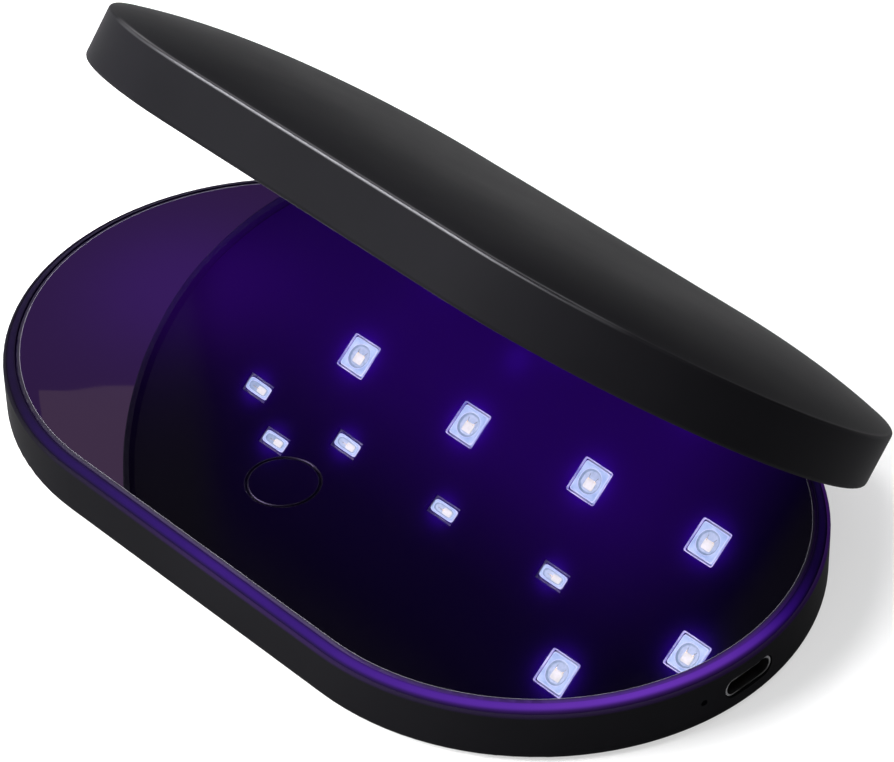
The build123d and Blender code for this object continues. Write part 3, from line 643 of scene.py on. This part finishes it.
def make_leds(size, boxes, finishes, package, chip, chip_place, chip_top, ease, wires):
    """Moulded packages with a cavity in each, and their chips and bond wires, all in the lid's frame.

    In millimetres: the chip's half length and half width (then its squareness), its place from the
    package's middle, its top's depth below the face, its eased edge, and the ends of its wires.
    """
    packages = Mesh(LID)
    chips = Mesh(LID)
    chip_x, chip_y, squareness = chip
    for low, high in boxes:
        middle = (low + high) / 2
        half_x, half_y = (high.x - low.x) / 2, (high.y - low.y) / 2
        face, foot = low.z, high.z
        steps = [(half_x, half_y, package[0][2], foot, package[0][4])]
        for inset_x, inset_y, corner, depth, finish in package:
            steps.append((half_x - inset_x * MM, half_y - inset_y * MM, corner, face + depth * MM, finish))
        packages.tower(middle, steps)

        die = middle + Vector((*chip_place, 0)) * MM
        top = face + chip_top * MM
        steps = [
            (chip_x * MM, chip_y * MM, squareness, face + CHIP_FOOT, 0),
            (chip_x * MM, chip_y * MM, squareness, top + CHIP_EDGE, 0),
            ((chip_x - ease) * MM, (chip_y - ease) * MM, squareness, top, 0),
        ]
        chips.tower(die, steps)
        for start, end in wires:
            start = die + Vector((*start, 0)) * MM
            end = die + Vector((*end, 0)) * MM
            bond_wire(chips, start, end, top, face + CHIP_FOOT)
    packages.done(f"{size}_led_packages", "lid", finishes, [f"{size}_led_bodies"])
    chips.done(f"{size}_led_chips", "lid", [CHIP, GOLD], [f"{size}_led_lenses"])


def bond_wire(piece, start, end, top, foot):
    """A fine gold loop from the chip down to its pad."""
    steps, sides, thick = 8, 6, 0.03 * MM
    arch = 0.07 * MM
    across = Vector((end.y - start.y, start.x - end.x, 0)).normalized()
    rings = []
    for step in range(steps + 1):
        t = step / steps
        centre = start.lerp(end, t)
        centre.z = top + (foot - top) * t - arch * math.sin(math.pi * t)
        turns = [math.tau * side / sides for side in range(sides)]
        points = [centre + thick * (math.cos(turn) * across + math.sin(turn) * Z_AXIS) for turn in turns]
        rings.append(piece.ring(points))
    piece.skin(rings, finish=1)
    piece.cap(rings[0], 1)
    piece.cap(rings[-1], 1)


def make_window_edges():
    """Polished raised edge round each large window of the lit panel, glowing with painted light from the
    LEDs.
    """
    gap = 0.25 * MM  # between a package and its window
    profile = ((-0.01, -0.3), (-0.01, 0.02), (0.03, 0.06), (0.12, 0.06), (0.16, 0.02), (0.16, -0.01))
    edges = Mesh(LID)
    for low, high in LARGE_LEDS:
        middle = (low + high) / 2
        length, width = (high.x - low.x) / 2 + gap, (high.y - low.y) / 2 + gap
        rings = [
            edges.ring(oval(middle, length + grow * MM, width + grow * MM, 18, PANEL_FACE - rise * MM))
            for grow, rise in profile
        ]
        edges.skin(rings)
    edges.done("window_edges", "lid", [WINDOW_EDGE_GLOW])


def make_port_contacts():
    """Gold contacts on both faces of the port's tongue."""
    contacts = Mesh()
    count, pitch, half_width = 12, 0.5 * MM, 0.14 * MM
    x_low, x_high = tongue_low.x + 0.6 * MM, tongue_high.x - 0.5 * MM
    for side, level in ((-1, tongue_low.z), (1, tongue_high.z)):
        for index in range(count):
            middle = (index - (count - 1) / 2) * pitch
            y_low, y_high = middle - half_width, middle + half_width
            rings = []
            for inset, rise in ((0.0, -0.02 * MM), (0.0, 0.03 * MM), (0.03 * MM, 0.05 * MM)):
                z = level + side * rise
                points = [
                    (x_low + inset, y_low + inset, z),
                    (x_high - inset, y_low + inset, z),
                    (x_high - inset, y_high - inset, z),
                    (x_low + inset, y_high - inset, z),
                ]
                rings.append(contacts.ring(points))
            contacts.skin(rings)
            contacts.cap(rings[0])
            contacts.cap(rings[-1])
    contacts.done("port_contacts", "base", [GOLD])


make_light_ring()
make_leds(
    "large",
    LARGE_LEDS,
    [PACKAGE, PACKAGE_EDGE, CAVITY],
    LARGE_PACKAGE,
    chip=(0.92, 0.80, 7),
    chip_place=(0.10, -0.38),
    chip_top=0.14,
    ease=0.06,
    wires=[((side * 0.6, 0.55), (side * 0.85, 1.45)) for side in (-1, 1)],
)
make_leds(
    "small",
    SMALL_LEDS,
    [PACKAGE, PACKAGE_EDGE, CAVITY, FLANGE],
    SMALL_PACKAGE,
    chip=(0.85, 0.52, 6),
    chip_place=(0.65, -0.05),
    chip_top=0.15,
    ease=0.05,
    wires=[((-0.6, 0), (-1.9, 0))],
)
make_window_edges()
make_port_contacts()

# ------------------------------------------------------------------------------- floor and light

LAMP_MIDDLE = Vector((0, 0, 20 * MM))


def make_floor():
    """A pale matte floor, a hair below the lamp's pad."""
    half, level = 3.0, -0.05 * MM
    corners = [(-half, -half, level), (half, -half, level), (half, half, level), (-half, half, level)]
    mesh = bpy.data.meshes.new("floor")
    mesh.from_pydata(corners, [], [(0, 1, 2, 3)])
    floor = bpy.data.objects.new("floor", mesh)
    bpy.context.scene.collection.objects.link(floor)
    s = Shader("pale_floor")
    s.set(
        Roughness=0.9,
        Specular_IOR_Level=0.1,
        Base_Color=s.mix(s.noise(6, 3), (0.44, 0.44, 0.443), (0.46, 0.46, 0.463)),
        Emission_Color=(1.0, 1.0, 1.0),
        Emission_Strength=0.55,
    )
    floor.data.materials.append(s.material)


def softbox(name, azimuth, elevation, distance, size, radiance, colour=(1, 1, 1), aim=LAMP_MIDDLE):
    """A rectangular soft light of an even radiance that faces a point on the lamp."""
    light = bpy.data.lights.new(name, "AREA")
    light.shape = "RECTANGLE"
    light.size, light.size_y = size
    light.energy = radiance * math.pi * size[0] * size[1]
    light.color = colour
    holder = bpy.data.objects.new(name, light)
    turn, lift = math.radians(azimuth), math.radians(elevation)
    towards = Vector((math.cos(turn) * math.cos(lift), math.sin(turn) * math.cos(lift), math.sin(lift)))
    holder.location = aim + towards * distance
    holder.rotation_mode = "QUATERNION"
    holder.rotation_quaternion = towards.to_track_quat("Z", "Y")
    bpy.context.scene.collection.objects.link(holder)
    return holder


def make_world():
    """A dim room, with a violet cast behind the lamp's left."""
    room, violet_cast = (0.13, 0.13, 0.135, 1), (0.0485, 0.0220, 0.0840, 1)
    behind_left = Vector((-0.57, 0.53, 0.63)).normalized()
    world = bpy.data.worlds.new("studio")
    bpy.context.scene.world = world
    world.use_nodes = True
    tree = world.node_tree
    background = tree.nodes["Background"]
    lobe = tree.nodes.new("ShaderNodeVectorMath")
    lobe.operation = "DOT_PRODUCT"
    tree.links.new(tree.nodes.new("ShaderNodeTexCoord").outputs["Generated"], lobe.inputs[0])
    lobe.inputs[1].default_value = behind_left
    reach = tree.nodes.new("ShaderNodeMapRange")
    reach.inputs["From Min"].default_value = 0.75
    reach.inputs["From Max"].default_value = 0.97
    tree.links.new(lobe.outputs["Value"], reach.inputs["Value"])
    mix = tree.nodes.new("ShaderNodeMix")
    mix.data_type = "RGBA"
    tree.links.new(reach.outputs["Result"], mix.inputs[0])
    mix.inputs[6].default_value = room
    mix.inputs[7].default_value = violet_cast
    tree.links.new(mix.outputs[2], background.inputs["Color"])


make_floor()
make_world()
softbox("key", azimuth=182, elevation=54, distance=0.55, size=(0.26, 0.14), radiance=24.0)
overhead = softbox("overhead", azimuth=0, elevation=88, distance=2.0, size=(2.6, 2.6), radiance=0.9)
overhead.visible_glossy = False  # it whitens the floor, and the plate keeps dark from above
softbox("fill", azimuth=238, elevation=38, distance=0.6, size=(0.40, 0.28), radiance=27.0)
softbox(
    "window",
    azimuth=138.9,
    elevation=43.8,
    distance=1.0,
    size=(0.17, 0.17),
    radiance=0.044,
    colour=(1.0, 0.76, 0.38),
    aim=Vector((-35 * MM, -33 * MM, plate_high.z)),
)

# --------------------------------------------------------------------------------------- camera


def make_camera():
    """A long lens to the front right of the lamp and above it, tipped a little to one side."""
    azimuth, elevation, roll = (math.radians(angle) for angle in (47.21, 39.24, -1.15))
    distance = 597.6 * MM
    back = Vector(
        (
            math.sin(azimuth) * math.cos(elevation),
            -math.cos(azimuth) * math.cos(elevation),
            math.sin(elevation),
        )
    )
    level = Z_AXIS.cross(back).normalized()
    upright = back.cross(level)
    right = math.cos(roll) * level + math.sin(roll) * upright
    up = math.cos(roll) * upright - math.sin(roll) * level
    target = 5.95 * MM * right + 13.11 * MM * up
    camera = bpy.data.objects.new("camera", bpy.data.cameras.new("camera"))
    camera.data.lens = 162.1
    camera.data.sensor_width = 36
    camera.data.clip_start = 0.01
    axes = Matrix((right, up, back)).transposed()
    camera.matrix_world = Matrix.Translation(target + back * distance) @ axes.to_4x4()
    bpy.context.scene.collection.objects.link(camera)
    bpy.context.scene.camera = camera


make_camera()
bpy.context.scene.view_settings.view_transform = "Standard"
